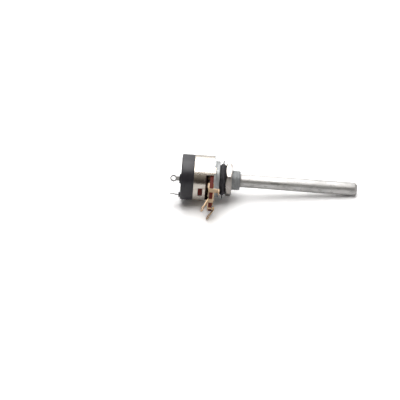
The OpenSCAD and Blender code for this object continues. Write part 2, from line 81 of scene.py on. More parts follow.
# Sizes and colours

class StageSettings(bpy.types.PropertyGroup):
    lens: FloatProperty(
        name="Lens", description="Focal length on a 36 mm sensor", default=181.4, min=20)
    distance: FloatProperty(
        name="Distance", description="From the camera to the middle of the picture",
        default=0.924, unit="LENGTH")
    elevation: FloatProperty(
        name="Elevation", description="Height of the camera over the table, as an angle",
        default=math.radians(34.2), subtype="ANGLE")
    seat_right: FloatProperty(
        name="Seat to the right", default=9.53 * MM, unit="LENGTH",
        description="Place of the mounting seat, right of the middle of the picture")
    seat_back: FloatProperty(
        name="Seat to the back", default=0.55 * MM, unit="LENGTH",
        description="Place of the mounting seat, behind the middle of the picture")
    yaw: FloatProperty(
        name="Yaw", description="Turn of the shaft's tip away from the camera",
        default=math.radians(-4.6), subtype="ANGLE")
    roll: FloatProperty(
        name="Roll", default=math.radians(4.0), subtype="ANGLE",
        description="Turn of the camera about its own line of sight, against the clock in the picture")
    rim_x: FloatProperty(
        name="Rim contact", description="Where along the shaft the plate's rim stands on the table",
        default=-2.0 * MM, unit="LENGTH")
    rim_radius: FloatProperty(
        name="Rim radius", description="Radius of the plate's rim, which stands on the table",
        default=10.6 * MM, unit="LENGTH")
    tip_x: FloatProperty(
        name="Tip contact", description="Where along the shaft its tip stands on the table",
        default=61.8 * MM, unit="LENGTH")
    tip_radius: FloatProperty(
        name="Tip radius", description="Radius of the shaft where its tip stands on the table",
        default=3 * MM, unit="LENGTH")
    card_radius: FloatProperty(
        name="Card distance", description="Radius of the ring of dim card round the part",
        default=0.55, unit="LENGTH")
    card_low: FloatProperty(
        name="Card from", description="Height at which the ring of dim card starts, as an angle",
        default=math.radians(3), subtype="ANGLE")
    card_front: FloatProperty(
        name="Card front", default=math.radians(65), subtype="ANGLE",
        description="Height at which the dim card ends on the camera's side, as an angle")
    card_back: FloatProperty(
        name="Card back", description="Height at which the dim card ends behind the part, as an angle",
        default=math.radians(6), subtype="ANGLE")
    card_colour: FloatVectorProperty(
        name="Card", description="Tone of the dim card at its upper edge", default=(0.3, 0.275, 0.24),
        subtype="COLOR", min=0, max=1)
    card_foot: FloatVectorProperty(
        name="Card foot", description="Tone of the dim card at its lower edge",
        default=(0.04, 0.034, 0.028), subtype="COLOR", min=0, max=1)
    key_power: FloatProperty(
        name="Softbox power", description="Power of the softbox over the part",
        default=3.2, min=0, unit="POWER")
    key_width: FloatProperty(
        name="Softbox width", description="Width of the softbox along the shaft",
        default=0.5, unit="LENGTH")
    key_depth: FloatProperty(
        name="Softbox depth", description="Depth of the softbox from front to back",
        default=0.7, unit="LENGTH")
    key_height: FloatProperty(
        name="Softbox height", description="Height of the softbox over the table",
        default=0.62, unit="LENGTH")
    key_back: FloatProperty(
        name="Softbox back", description="How far the softbox stands behind the part",
        default=0.02, unit="LENGTH")
    back_power: FloatProperty(
        name="Back lamp power", description="Power of the wide lamp behind the part",
        default=2.1, min=0, unit="POWER")
    back_width: FloatProperty(
        name="Back lamp width", description="Width of the back lamp along the shaft",
        default=0.9, unit="LENGTH")
    back_face: FloatProperty(
        name="Back lamp face", description="Size of the back lamp from its lower to its upper edge",
        default=0.72, unit="LENGTH")
    back_height: FloatProperty(
        name="Back lamp height", description="Height of the back lamp over the table",
        default=0.6, unit="LENGTH")
    back_away: FloatProperty(
        name="Back lamp away", description="How far the back lamp stands behind the part",
        default=0.6, unit="LENGTH")
    sides: FloatProperty(
        name="Side light", description="Soft light that reaches the part from all sides",
        default=0.1, min=0)
    overhead: FloatProperty(
        name="Overhead light", description="Soft light that reaches the part from above",
        default=0.15, min=0)
    floor_reach: FloatProperty(
        name="Table reach", description="From the middle of the table to each of its edges",
        default=4.0, unit="LENGTH")
    floor_colour: FloatVectorProperty(
        name="Floor", description="Colour of the table", default=(0.9, 0.9, 0.905),
        subtype="COLOR", min=0, max=1)
    floor_seen: FloatVectorProperty(
        name="Floor in the picture", description="Colour of the table as the camera sees it, past white",
        default=(1.6, 1.59, 1.58), subtype="COLOR", min=0, max=3)
    fade_from: FloatProperty(
        name="Fade from", description="How far from its middle the table starts to fade to plain white",
        default=0.16, unit="LENGTH")
    fade_to: FloatProperty(
        name="Fade to", description="How far from its middle the table is plain white",
        default=0.42, unit="LENGTH")


class BushingSettings(bpy.types.PropertyGroup):
    pitch: FloatProperty(
        name="Pitch", description="Pitch of the thread", default=0.75 * MM, min=0.3 * MM, unit="LENGTH")
    depth: FloatProperty(
        name="Depth", description="Depth of the thread", default=0.26 * MM, min=0.1 * MM, unit="LENGTH")
    radius: FloatProperty(
        name="Radius", description="Outer radius of the thread", default=4.5 * MM, unit="LENGTH")
    reach: FloatProperty(
        name="Reach", description="Reach of the bushing from the mounting seat",
        default=9.4 * MM, unit="LENGTH")
    chamfer: FloatProperty(
        name="Chamfer", description="Run-out of the thread at the mouth",
        default=0.45 * MM, unit="LENGTH")
    around: IntProperty(
        name="Around", description="Corners round one turn of the thread", default=64, min=12)
    along: IntProperty(
        name="Along", description="Rows over one pitch of the thread", default=8, min=4)


class EdgeSettings(bpy.types.PropertyGroup):
    sheet: FloatProperty(
        name="Sheet edges", description="Rounding of stamped sheet edges",
        default=0.06 * MM, unit="LENGTH")
    cast: FloatProperty(
        name="Cast edges", description="Rounding of cast and turned edges",
        default=0.1 * MM, unit="LENGTH")
    fold: FloatProperty(
        name="Fold", description="Outer radius of the can's folded tabs",
        default=0.32 * MM, unit="LENGTH")
    boss: FloatProperty(
        name="Boss edge", description="Rounding of the plate's boss round the mounting seat",
        default=0.32 * MM, unit="LENGTH")
    slope: FloatProperty(
        name="Washer slope", description="Slope on the free side of a thick washer's rim",
        default=0.8 * MM, unit="LENGTH")
    moulded: FloatProperty(
        name="Moulded edges", description="Rounding of moulded edges", default=0.14 * MM, unit="LENGTH")


class ColourSettings(bpy.types.PropertyGroup):
    aluminium: FloatVectorProperty(
        name="Aluminium", description="Shaft", default=(0.58, 0.565, 0.55), subtype="COLOR", min=0, max=1)
    nickel: FloatVectorProperty(
        name="Nickel", description="Can", default=(0.72, 0.66, 0.59), subtype="COLOR", min=0, max=1)
    zinc: FloatVectorProperty(
        name="Zinc", description="Plate and bushing", default=(0.73, 0.75, 0.755),
        subtype="COLOR", min=0, max=1)
    plating: FloatVectorProperty(
        name="Plating", description="Nut", default=(0.5, 0.46, 0.425), subtype="COLOR", min=0, max=1)
    fibre: FloatVectorProperty(
        name="Fibre", description="Washers", default=(0.036, 0.035, 0.039), subtype="COLOR", min=0, max=1)
    laminate: FloatVectorProperty(
        name="Laminate", description="Wafer and insulator", default=(0.12, 0.019, 0.012),
        subtype="COLOR", min=0, max=1)
    strip: FloatVectorProperty(
        name="Strip", description="Terminals", default=(0.6, 0.43, 0.265), subtype="COLOR", min=0, max=1)
    tin: FloatVectorProperty(
        name="Tin", description="Lugs and tinned ends", default=(0.72, 0.71, 0.69),
        subtype="COLOR", min=0, max=1)
    moulding: FloatVectorProperty(
        name="Moulding", description="Switch housing", default=(0.014, 0.012, 0.017),
        subtype="COLOR", min=0, max=1)
    brown: FloatVectorProperty(
        name="Brown moulding", description="Rotor and lever", default=(0.05, 0.025, 0.016),
        subtype="COLOR", min=0, max=1)
    steel: FloatVectorProperty(
        name="Spring steel", description="Retaining ring, pivot pin and spring",
        default=(0.42, 0.42, 0.44), subtype="COLOR", min=0, max=1)
    bronze: FloatVectorProperty(
        name="Spring bronze", description="Wiper and moving contact", default=(0.3, 0.19, 0.09),
        subtype="COLOR", min=0, max=1)


GROUPS = {
    "pot_stage": StageSettings,
    "pot_bushing": BushingSettings,
    "pot_edges": EdgeSettings,
    "pot_colours": ColourSettings,
}


# Node trees

class Tree:
    """A node tree, with short calls to add nodes and join them."""

    def __init__(self, tree):
        self.tree = tree

    def add(self, kind, settings=None, **inputs):
        node = self.tree.nodes.new(kind)
        for key, value in (settings or {}).items():
            setattr(node, key, value)
        for key, value in inputs.items():
            self.put(node.inputs[key.replace("_", " ")], value)
        return node

    def put(self, socket, value):
        if isinstance(value, bpy.types.NodeSocket):
            self.tree.links.new(value, socket)
        else:
            socket.default_value = value

    def math(self, operation, *values):
        node = self.add("ShaderNodeMath", {"operation": operation})
        for socket, value in zip(node.inputs, values):
            self.put(socket, value)
        return node.outputs[0]

    def mix(self, mask, low, high):
        node = self.add("ShaderNodeMix", {"data_type": "RGBA"})
        self.put(node.inputs["Factor"], mask)
        self.put(node.inputs["A"], low)
        self.put(node.inputs["B"], high)
        return node.outputs["Result"]

    def lay(self, base, mask, share, colour):
        """Lays a colour over the base where the mask shows, at the given share of full strength."""
        return self.mix(self.math("MULTIPLY", mask, share), base, colour)

    def mix_shaders(self, mask, low, high):
        node = self.add("ShaderNodeMixShader", Fac=mask)
        self.put(node.inputs[1], low)
        self.put(node.inputs[2], high)
        return node.outputs[0]

    def spread(self, value, low, high, to_low=0.0, to_high=1.0):
        limits = {"From_Min": low, "From_Max": high, "To_Min": to_low, "To_Max": to_high}
        return self.add("ShaderNodeMapRange", Value=value, **limits).outputs["Result"]

    def place(self):
        return self.add("ShaderNodeTexCoord").outputs["Object"]

    def apart(self, vector):
        return self.add("ShaderNodeSeparateXYZ", Vector=vector).outputs

    def vector(self, x, y, z):
        return self.add("ShaderNodeCombineXYZ", X=x, Y=y, Z=z).outputs[0]

    def pressed(self, share):
        """The place on the piece with Y and Z pressed together, which draws a pattern out across X."""
        place = self.apart(self.place())
        y, z = (self.math("MULTIPLY", place[axis], share) for axis in "YZ")
        return self.vector(place["X"], y, z)


def rgba(colour):
    return (*colour, 1.0)


def scaled(colour, factor):
    return (*(min(1.0, c * factor) for c in colour), 1.0)


def shader_group(name, inputs, outputs):
    """Starts a node group whose inputs and outputs are named numbers."""
    group = bpy.data.node_groups.new(name, "ShaderNodeTree")
    for label, default in inputs:
        socket = group.interface.new_socket(label, in_out="INPUT", socket_type="NodeSocketFloat")
        socket.default_value = default
    for label in outputs:
        group.interface.new_socket(label, in_out="OUTPUT", socket_type="NodeSocketFloat")
    tree = Tree(group)
    return group, tree, group.nodes.new("NodeGroupInput"), group.nodes.new("NodeGroupOutput")


def mottle_group():
    """Soft stains and fine specks, laid on the piece in object space."""
    group, tree, given, out = shader_group(
        "Mottle",
        [("Stain Size", 400.0), ("Speck Size", 2500.0), ("Stretch", 1.0), ("Contrast", 0.2)],
        ["Stain", "Speck", "Height"])
    apart = tree.apart(tree.place())
    along = tree.math("DIVIDE", apart["X"], given.outputs["Stretch"])
    place = tree.vector(along, apart["Y"], apart["Z"])
    stain = tree.add("ShaderNodeTexNoise", Vector=place, Scale=given.outputs["Stain Size"], Detail=4.0)
    speck = tree.add("ShaderNodeTexNoise", Vector=place, Scale=given.outputs["Speck Size"], Detail=2.0)
    low = tree.math("SUBTRACT", 0.5, given.outputs["Contrast"])
    high = tree.math("ADD", 0.5, given.outputs["Contrast"])
    tree.put(out.inputs["Stain"], tree.spread(stain.outputs["Fac"], low, high))
    tree.put(out.inputs["Speck"], tree.spread(speck.outputs["Fac"], low, high))
    tree.put(out.inputs["Height"], speck.outputs["Fac"])
    return group


def turned_group():
    """Fine rings left by the lathe, round the shaft's axis and along it."""
    group, tree, given, out = shader_group(
        "Turned Rings", [("Pitch", 9000.0), ("Break Up", 0.4)], ["Height"])
    rings = tree.add(
        "ShaderNodeTexNoise", Vector=tree.pressed(0.03), Scale=given.outputs["Pitch"], Detail=3.0)
    patches = tree.add("ShaderNodeTexNoise", Vector=tree.place(), Scale=500.0, Detail=2.0)
    broken = tree.math("MULTIPLY", patches.outputs["Fac"], given.outputs["Break Up"])
    tree.put(out.inputs["Height"], tree.math("ADD", rings.outputs["Fac"], broken))
    return group


def edge_group():
    """Where the surface turns sharply: worn bright on corners, and painted shade in the hollows."""
    blunt, sharp = 0.51, 0.58
    shallow, deep = 0.49, 0.43
    group, tree, given, out = shader_group("Edges", [("Wear", 0.5)], ["Corner", "Hollow Shade"])
    point = tree.add("ShaderNodeNewGeometry").outputs["Pointiness"]
    patches = tree.add("ShaderNodeTexNoise", Vector=tree.place(), Scale=1500.0, Detail=3.0)
    rubbed = tree.math("MULTIPLY", tree.spread(point, blunt, sharp), patches.outputs["Fac"])
    worn = tree.math("MULTIPLY", rubbed, tree.math("MULTIPLY", given.outputs["Wear"], 2.0))
    tree.put(out.inputs["Corner"], tree.math("MINIMUM", worn, 1.0))
    # painted shade: this mask is strongest where the surface folds inward, where shade falls
    tree.put(out.inputs["Hollow Shade"], tree.spread(point, shallow, deep))
    return group


SHARED = {}


def use(tree, name, **values):
    """Places a shared group in a material with its own values, and returns what the group puts out."""
    makers = {"mottle": mottle_group, "turned": turned_group, "edges": edge_group}
    if name not in SHARED:
        SHARED[name] = makers[name]()
    return tree.add("ShaderNodeGroup", {"node_tree": SHARED[name]}, **values).outputs


def cleared(owner):
    """Turns on a material's or world's nodes and empties them."""
    owner.use_nodes = True
    owner.node_tree.nodes.clear()
    return Tree(owner.node_tree)


def new_material(name):
    material = bpy.data.materials.new(name)
    tree = cleared(material)
    shader = tree.add("ShaderNodeBsdfPrincipled")
    output = tree.add("ShaderNodeOutputMaterial")
    tree.put(output.inputs["Surface"], shader.outputs["BSDF"])
    return material, tree, shader


def coat(tree, shader, base, mask, rough_from, rough_to):
    """Gives a shader its colour, and a roughness that goes from one value to the other with the mask."""
    tree.put(shader.inputs["Base Color"], base)
    tree.put(shader.inputs["Roughness"], tree.spread(mask, 0.0, 1.0, rough_from, rough_to))


def bump(tree, shader, height, strength, depth):
    node = tree.add("ShaderNodeBump", Height=height, Strength=strength, Distance=depth)
    tree.put(shader.inputs["Normal"], node.outputs["Normal"])


def metal(name, colour, rough, contrast=0.2, stain=0.82, stain_size=350.0, metallic=1.0,
          darker_past=PAST_TIP):
    """A bare or plated metal with darker stains, small specks, bright corners and a fine grain.

    Past the given place along the shaft it's made darker.
    """
    material, tree, shader = new_material(name)
    mottle = use(tree, "mottle", Stain_Size=stain_size, Speck_Size=stain_size * 7, Contrast=contrast)
    edges = use(tree, "edges", Wear=0.6)
    stained = scaled(colour, stain)
    speckled = scaled(colour, stain * 0.8)
    rubbed = scaled(colour, 1.12)
    hollow_shade = scaled(colour, 0.35)
    darkened = scaled(colour, 0.3)
    base = tree.mix(mottle["Stain"], stained, rgba(colour))
    base = tree.lay(base, mottle["Speck"], 0.25, speckled)
    base = tree.mix(edges["Corner"], base, rubbed)
    # painted shade: a darker colour laid into the hollows
    base = tree.lay(base, edges["Hollow Shade"], 0.6, hollow_shade)
    # darker past the given place along the shaft
    along = tree.apart(tree.place())["X"]
    past = tree.spread(along, darker_past, darker_past + 0.5 * MM)
    base = tree.lay(base, past, 0.7, darkened)
    coat(tree, shader, base, mottle["Stain"], rough + 0.1, rough - 0.04)
    shader.inputs["Metallic"].default_value = metallic
    bump(tree, shader, mottle["Height"], 0.35, FINE_GRAIN)
    return material


def turned_metal(name, colour, rough):
    """Drawn and turned aluminium, dulled in patches by handling, with darker pits along it."""
    material, tree, shader = new_material(name)
    mottle = use(tree, "mottle", Stain_Size=260.0, Speck_Size=900.0, Stretch=2.2, Contrast=0.16)
    rings = use(tree, "turned", Pitch=5200.0, Break_Up=1.2)
    edges = use(tree, "edges", Wear=0.7)
    darkened = scaled(colour, 0.72)
    bright = scaled(colour, 1.12)
    pitted = scaled(colour, 0.3)
    rubbed = scaled(colour, 1.2)
    base = tree.mix(mottle["Stain"], darkened, bright)
    pits = tree.spread(mottle["Speck"], 0.25, 0.0)
    base = tree.lay(base, pits, 0.55, pitted)
    base = tree.mix(edges["Corner"], base, rubbed)
    coat(tree, shader, base, mottle["Stain"], rough + 0.12, rough - 0.05)
    shader.inputs["Metallic"].default_value = 0.8
    both = tree.math("ADD", tree.math("MULTIPLY", rings["Height"], 0.35), mottle["Speck"])
    bump(tree, shader, both, 0.35, DEEP_GRAIN)
    return material


def moulded(name, colour, rough, gloss):
    """A moulded thermoset: dark, half gloss, with a dusty bloom and rubbed corners."""
    material, tree, shader = new_material(name)
    mottle = use(tree, "mottle", Stain_Size=260.0, Speck_Size=3200.0, Contrast=0.22)
    edges = use(tree, "edges", Wear=0.5)
    dusty = scaled([c + 0.008 for c in colour], 1.3)
    rubbed = scaled([c + 0.03 for c in colour], 1.5)
    base = tree.lay(rgba(colour), mottle["Stain"], 0.5, dusty)
    base = tree.lay(base, edges["Corner"], 0.5, rubbed)
    coat(tree, shader, base, mottle["Stain"], rough - 0.05, rough + 0.08)
    shader.inputs["Specular IOR Level"].default_value = gloss
    bump(tree, shader, mottle["Height"], 0.3, FINE_GRAIN)
    return material


def fibre(name, colour):
    """Pressed fibre: matt, with short flat strands and a fuzzy rim."""
    material, tree, shader = new_material(name)
    mottle = use(tree, "mottle", Stain_Size=700.0, Speck_Size=4200.0, Contrast=0.2)
    strands = scaled([c + 0.012 for c in colour], 1.8)
    base = tree.mix(mottle["Stain"], rgba(colour), strands)
    coat(tree, shader, base, mottle["Speck"], 0.55, 0.8)
    shader.inputs["Specular IOR Level"].default_value = 0.35
    bump(tree, shader, mottle["Height"], 0.5, FUZZ)
    return material


def laminate(name, colour):
    """Resin-bonded paper: thin layers that show along the cut edges, and a waxy face."""
    material, tree, shader = new_material(name)
    paper = tree.add("ShaderNodeTexNoise", Vector=tree.pressed(0.06), Scale=5200.0, Detail=2.0)
    layers = paper.outputs["Fac"]
    mottle = use(tree, "mottle", Stain_Size=420.0, Speck_Size=2600.0, Contrast=0.2)
    edges = use(tree, "edges", Wear=0.6)
    dark = scaled(colour, 0.62)
    light = scaled(colour, 1.15)
    stained = scaled(colour, 0.6)
    rubbed = scaled(colour, 1.9)
    base = tree.mix(tree.spread(layers, 0.35, 0.65), dark, light)
    base = tree.lay(base, mottle["Stain"], 0.35, stained)
    base = tree.lay(base, edges["Corner"], 0.6, rubbed)
    coat(tree, shader, base, mottle["Speck"], 0.5, 0.65)
    shader.inputs["Specular IOR Level"].default_value = 0.16
    bump(tree, shader, layers, 0.35, DEEP_GRAIN)
    return material


def tinned_strip(name, strip, tin):
    """Brass strip with a thin tin coat, worn through to the warm brass in places."""
    material, tree, shader = new_material(name)
    mottle = use(tree, "mottle", Stain_Size=520.0, Speck_Size=2400.0, Contrast=0.14)
    edges = use(tree, "edges", Wear=0.9)
    thin_tin = rgba([0.8 * a + 0.2 * b for a, b in zip(strip, tin)])
    speckled = scaled(strip, 0.6)
    rubbed = scaled(strip, 1.15)
    hollow_shade = scaled(strip, 0.35)
    base = tree.mix(mottle["Stain"], rgba(strip), thin_tin)
    base = tree.lay(base, mottle["Speck"], 0.2, speckled)
    base = tree.mix(edges["Corner"], base, rubbed)
    # painted shade: a darker colour laid into the hollows
    base = tree.lay(base, edges["Hollow Shade"], 0.5, hollow_shade)
    coat(tree, shader, base, mottle["Stain"], 0.56, 0.42)
    shader.inputs["Metallic"].default_value = 0.9
    bump(tree, shader, mottle["Height"], 0.3, FINE_GRAIN)
    return material


def carbon(name):
    """Sprayed resistance film: dead matt, with a fine grain and lighter patches."""
    material, tree, shader = new_material(name)
    mottle = use(tree, "mottle", Stain_Size=900.0, Speck_Size=6000.0, Contrast=0.2)
    film = (0.012, 0.012, 0.013, 1)
    patches = (0.03, 0.03, 0.032, 1)
    base = tree.mix(mottle["Stain"], film, patches)
    coat(tree, shader, base, mottle["Speck"], 0.7, 0.9)
    bump(tree, shader, mottle["Height"], 0.4, FINE_GRAIN)
    return material


FINISHES = {}


def finish(slot):
    """The material of a slot, made when the first piece asks for it."""
    if slot not in FINISHES:
        colours = bpy.context.scene.pot_colours
        makers = {
            "shaft_aluminium": lambda: turned_metal("Shaft aluminium", colours.aluminium, 0.42),
            "can_nickel": lambda: metal(
                "Nickel on steel", colours.nickel, 0.2, contrast=0.25, stain=0.88),
            "plate_zinc": lambda: metal(
                "Die-cast zinc", colours.zinc, 0.45, stain=0.88, stain_size=300.0, metallic=0.35,
                darker_past=MM),
            "nut_plated": lambda: metal("Bright plating", colours.plating, 0.28, stain=0.85),
            "washer_black": lambda: fibre("Black fibre", colours.fibre),
            "wafer_laminate": lambda: laminate("Red laminate", colours.laminate),
            "terminal_tinned": lambda: tinned_strip("Tinned strip", colours.strip, colours.tin),
            "tinned_brass": lambda: metal("Tin", colours.tin, 0.36, stain_size=600.0, metallic=0.65),
            "housing_moulding": lambda: moulded("Black moulding", colours.moulding, 0.36, 0.6),
            "rotor_moulding": lambda: moulded("Brown moulding", colours.brown, 0.5, 0.4),
            "carbon": lambda: carbon("Carbon film"),
            "spring_steel": lambda: metal("Spring steel", colours.steel, 0.34),
            "spring_bronze": lambda: metal("Spring bronze", colours.bronze, 0.4),
        }
        FINISHES[slot] = makers[slot]()
    return FINISHES[slot]


# Meshes

def slot_of(node):
    return next(s["material_slot"] for s in frame["record"]["subparts"] if s["node"] == node)


def body_of(node):
    return next(b for b, nodes in frame["record"]["behaviour"]["bodies"].items() if node in nodes)


def copy_of(node):
    """A node's own shape with its doubles merged and its flat faces made whole."""
    bm = bmesh.new()
    bm.from_mesh(frame["nodes"][node].data)
    bmesh.ops.remove_doubles(bm, verts=bm.verts, dist=WELD)
    bmesh.ops.dissolve_limit(bm, angle_limit=FLAT, verts=bm.verts, edges=bm.edges)
    return bm


def ease(bm, width, segments=2, angle=32, where=None):
    """Rounds the sharp edges, or those of them that pass a test."""
    limit = math.radians(angle)
    edges = [
        e for e in bm.edges
        if len(e.link_faces) == 2 and e.calc_face_angle() > limit and (where is None or where(e))
    ]
    bmesh.ops.bevel(
        bm, geom=edges, offset=width, offset_type="OFFSET", segments=segments, profile=0.5,
        affect="EDGES", clamp_overlap=False)


def radius_of(co):
    return math.hypot(co.y, co.z)


def move_to_radius(vert, radius):
    """Moves a corner straight in or out, to a radius round the shaft's axis."""
    ratio = radius / radius_of(vert.co)
    vert.co.y *= ratio
    vert.co.z *= ratio


def into_object(bm, name, smooth=36):
    for face in bm.faces:
        face.smooth = True
    for edge in bm.edges:
        edge.smooth = len(edge.link_faces) == 2 and edge.calc_face_angle() < math.radians(smooth)
    mesh = bpy.data.meshes.new(name)
    bm.to_mesh(mesh)
    bm.free()
    piece = bpy.data.objects.new(name, mesh)
    bpy.context.scene.collection.objects.link(piece)
    return piece


def stand_for(piece, node):
    """Gives a piece the finish, body and slot of the node that it stands for."""
    piece.data.materials.clear()
    piece.data.materials.append(finish(slot_of(node)))
    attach(piece, body_of(node))
    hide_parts(node)


def eased_piece(node, width, segments=2, **options):
    bm = copy_of(node)
    ease(bm, width, segments, **options)
    stand_for(into_object(bm, node + "_piece"), node)


def thread_tree():
    """A threaded sleeve: a sheet of corners rolled round the X axis, its radius waved along the helix."""
    root_end, crest_start = 0.12, 0.62
    group = bpy.data.node_groups.new("Thread sleeve", "GeometryNodeTree")
    inputs = [
        ("Radius", "Float", 4.5 * MM), ("Depth", "Float", 0.26 * MM), ("Pitch", "Float", 0.75 * MM),
        ("Length", "Float", 9.4 * MM), ("Run Out", "Float", 0.45 * MM), ("Around", "Int", 64),
        ("Rows", "Int", 100)]
    for label, kind, default in inputs:
        socket = group.interface.new_socket(label, in_out="INPUT", socket_type="NodeSocket" + kind)
        socket.default_value = default
    group.interface.new_socket("Material", in_out="INPUT", socket_type="NodeSocketMaterial")
    group.interface.new_socket("Geometry", in_out="OUTPUT", socket_type="NodeSocketGeometry")
    tree = Tree(group)
    given = group.nodes.new("NodeGroupInput").outputs
    out = group.nodes.new("NodeGroupOutput")
    sheet = tree.add("GeometryNodeMeshGrid", Size_X=1.0, Size_Y=1.0)
    tree.put(sheet.inputs["Vertices X"], given["Rows"])
    tree.put(sheet.inputs["Vertices Y"], tree.math("ADD", given["Around"], 1))
    flat = tree.apart(tree.add("GeometryNodeInputPosition").outputs[0])
    along = tree.math("MULTIPLY", tree.math("ADD", flat["X"], 0.5), given["Length"])
    turn = tree.math("ADD", flat["Y"], 0.5)
    phase = tree.math("FRACT", tree.math("SUBTRACT", tree.math("DIVIDE", along, given["Pitch"]), turn))
    tooth = tree.math("MULTIPLY", tree.math("ABSOLUTE", tree.math("SUBTRACT", phase, 0.5)), 2.0)
    crest = tree.spread(tooth, root_end, crest_start)
    left = tree.math("SUBTRACT", given["Length"], along)
    fade = tree.math("MINIMUM", tree.math("DIVIDE", left, given["Run Out"]), 1.0)
    start = tree.math("MINIMUM", tree.math("DIVIDE", along, given["Run Out"]), 1.0)
    height = tree.math("MULTIPLY", crest, tree.math("MINIMUM", fade, start))
    root = tree.math("SUBTRACT", given["Radius"], given["Depth"])
    radius = tree.math("ADD", root, tree.math("MULTIPLY", height, given["Depth"]))
    angle = tree.math("MULTIPLY", turn, 2 * math.pi)
    rolled = tree.vector(
        along, tree.math("MULTIPLY", radius, tree.math("COSINE", angle)),
        tree.math("MULTIPLY", radius, tree.math("SINE", angle)))
    shape = tree.add("GeometryNodeSetPosition", Geometry=sheet.outputs["Mesh"], Position=rolled)
    joined = tree.add("GeometryNodeMergeByDistance", Geometry=shape.outputs[0], Distance=WELD)
    whole = tree.add("GeometryNodeRealizeInstances", Geometry=joined.outputs[0])
    painted = tree.add(
        "GeometryNodeSetMaterial", Geometry=whole.outputs[0], Material=given["Material"])
    tree.put(out.inputs["Geometry"], painted.outputs[0])
    return group


def grown(name, group, **values):
    """Runs a node tree with the given inputs and returns the result as a plain mesh."""
    holder = bpy.data.objects.new(name, bpy.data.meshes.new(name))
    bpy.context.scene.collection.objects.link(holder)
    modifier = holder.modifiers.new(name, "NODES")
    modifier.node_group = group
    sockets = {s.name: s.identifier for s in group.interface.items_tree if s.in_out == "INPUT"}
    for key, value in values.items():
        modifier[sockets[key.replace("_", " ")]] = value
    graph = bpy.context.evaluated_depsgraph_get()
    mesh = bpy.data.meshes.new_from_object(holder.evaluated_get(graph))
    bpy.data.objects.remove(holder)
    return mesh


def close_sleeve(mesh, inner):
    """Turns an open sleeve round the X axis into a closed tube with the given inner radius."""
    bm = bmesh.new()
    bm.from_mesh(mesh)
    rims = [e for e in bm.edges if e.is_boundary]
    added = bmesh.ops.extrude_edge_only(bm, edges=rims)["geom"]
    for vert in (v for v in added if isinstance(v, bmesh.types.BMVert)):
        move_to_radius(vert, inner)
    bmesh.ops.bridge_loops(bm, edges=[e for e in bm.edges if e.is_boundary])
    bm.to_mesh(mesh)
    bm.free()


# Operators

class PieceOperator:
    bl_options = {"REGISTER", "UNDO"}


class POT_OT_bushing(PieceOperator, bpy.types.Operator):
    """Cut the thread on the bushing and round the cast plate's edges"""
    bl_idname = "pot.bushing"
    bl_label = "Bushing and Plate"

    def execute(self, context):
        size = context.scene.pot_bushing
        edges = context.scene.pot_edges
        boss_rim = 1.2 * size.radius
        barrel = 0.88 * size.radius
        flange_top = -0.5 * MM

        def on_boss(edge):
            return all(abs(v.co.x) < NEAR for v in edge.verts) and radius_of(edge.verts[0].co) > boss_rim

        def on_flange(edge):
            return max(v.co.x for v in edge.verts) < flange_top

        core = size.radius - size.depth - 2 * NEAR
        bm = copy_of("bushing_plate")
        ease(bm, edges.boss, 4, where=on_boss)
        ease(bm, edges.cast, where=on_flange)
        for vert in bm.verts:
            if vert.co.x > 2 * NEAR and radius_of(vert.co) > barrel:
                move_to_radius(vert, core)
        thread = grown(
            "bushing_thread", thread_tree(), Radius=size.radius, Depth=size.depth, Pitch=size.pitch,
            Length=size.reach, Run_Out=size.chamfer, Around=size.around,
            Rows=int(size.reach / size.pitch * size.along), Material=finish("plate_zinc"))
        close_sleeve(thread, core - edges.cast)
        bm.from_mesh(thread)
        bmesh.ops.recalc_face_normals(bm, faces=bm.faces)
        stand_for(into_object(bm, "bushing_plate_piece"), "bushing_plate")
        return {"FINISHED"}


class POT_OT_can(PieceOperator, bpy.types.Operator):
    """Fold the can's tabs over a radius and dull its cut edges"""
    bl_idname = "pot.can"
    bl_label = "Can"

    def execute(self, context):
        edges = context.scene.pot_edges
        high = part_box("cover_can")[1]
        rim = high.y - 2 * NEAR

        def folded(edge):
            return all(abs(v.co.x - high.x) < NEAR and radius_of(v.co) > rim for v in edge.verts)

        bm = copy_of("cover_can")
        ease(bm, edges.fold, 4, where=folded)
        ease(bm, edges.sheet * 0.7, 1, angle=50)
        stand_for(into_object(bm, "cover_can_piece"), "cover_can")
        return {"FINISHED"}


def slope_rim(bm, free, radius, width):
    """Widens the small chamfer on the free side of a washer's rim into a slope."""
    chamfer = 0.4 * MM
    for vert in bm.verts:
        away = abs(vert.co.x - free)
        out = radius_of(vert.co)
        if away < NEAR and out > 0.9 * radius:
            move_to_radius(vert, radius - width)
        elif out > 0.99 * radius and away < chamfer:
            vert.co.x = free + width * (vert.co.x - free) / away


class POT_OT_hardware(PieceOperator, bpy.types.Operator):
    """Round the edges of the shaft, washers and nut"""
    bl_idname = "pot.hardware"
    bl_label = "Shaft, Washers and Nut"

    def execute(self, context):
        edges = context.scene.pot_edges
        eased_piece("shaft", edges.cast, angle=25)
        for node, side in (("rear_washer", 0), ("front_washer", 1)):
            bm = copy_of(node)
            slope_rim(bm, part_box(node)[side].x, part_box(node)[1].y, edges.slope)
            ease(bm, edges.cast, 3, angle=30)
            stand_for(into_object(bm, node + "_piece"), node)
        eased_piece("wide_washer", edges.sheet, angle=30)
        eased_piece("mounting_nut", edges.cast, angle=18)
        return {"FINISHED"}


class POT_OT_terminals(PieceOperator, bpy.types.Operator):
    """Round the wafer's and the stamped strips' edges"""
    bl_idname = "pot.terminals"
    bl_label = "Wafer and Terminals"

    def execute(self, context):
        edges = context.scene.pot_edges
        eased_piece("wafer", edges.sheet, 1)
        for node in ("upper_terminal", "middle_terminal", "lower_terminal", "terminal_rivets"):
            eased_piece(node, edges.sheet)
        return {"FINISHED"}


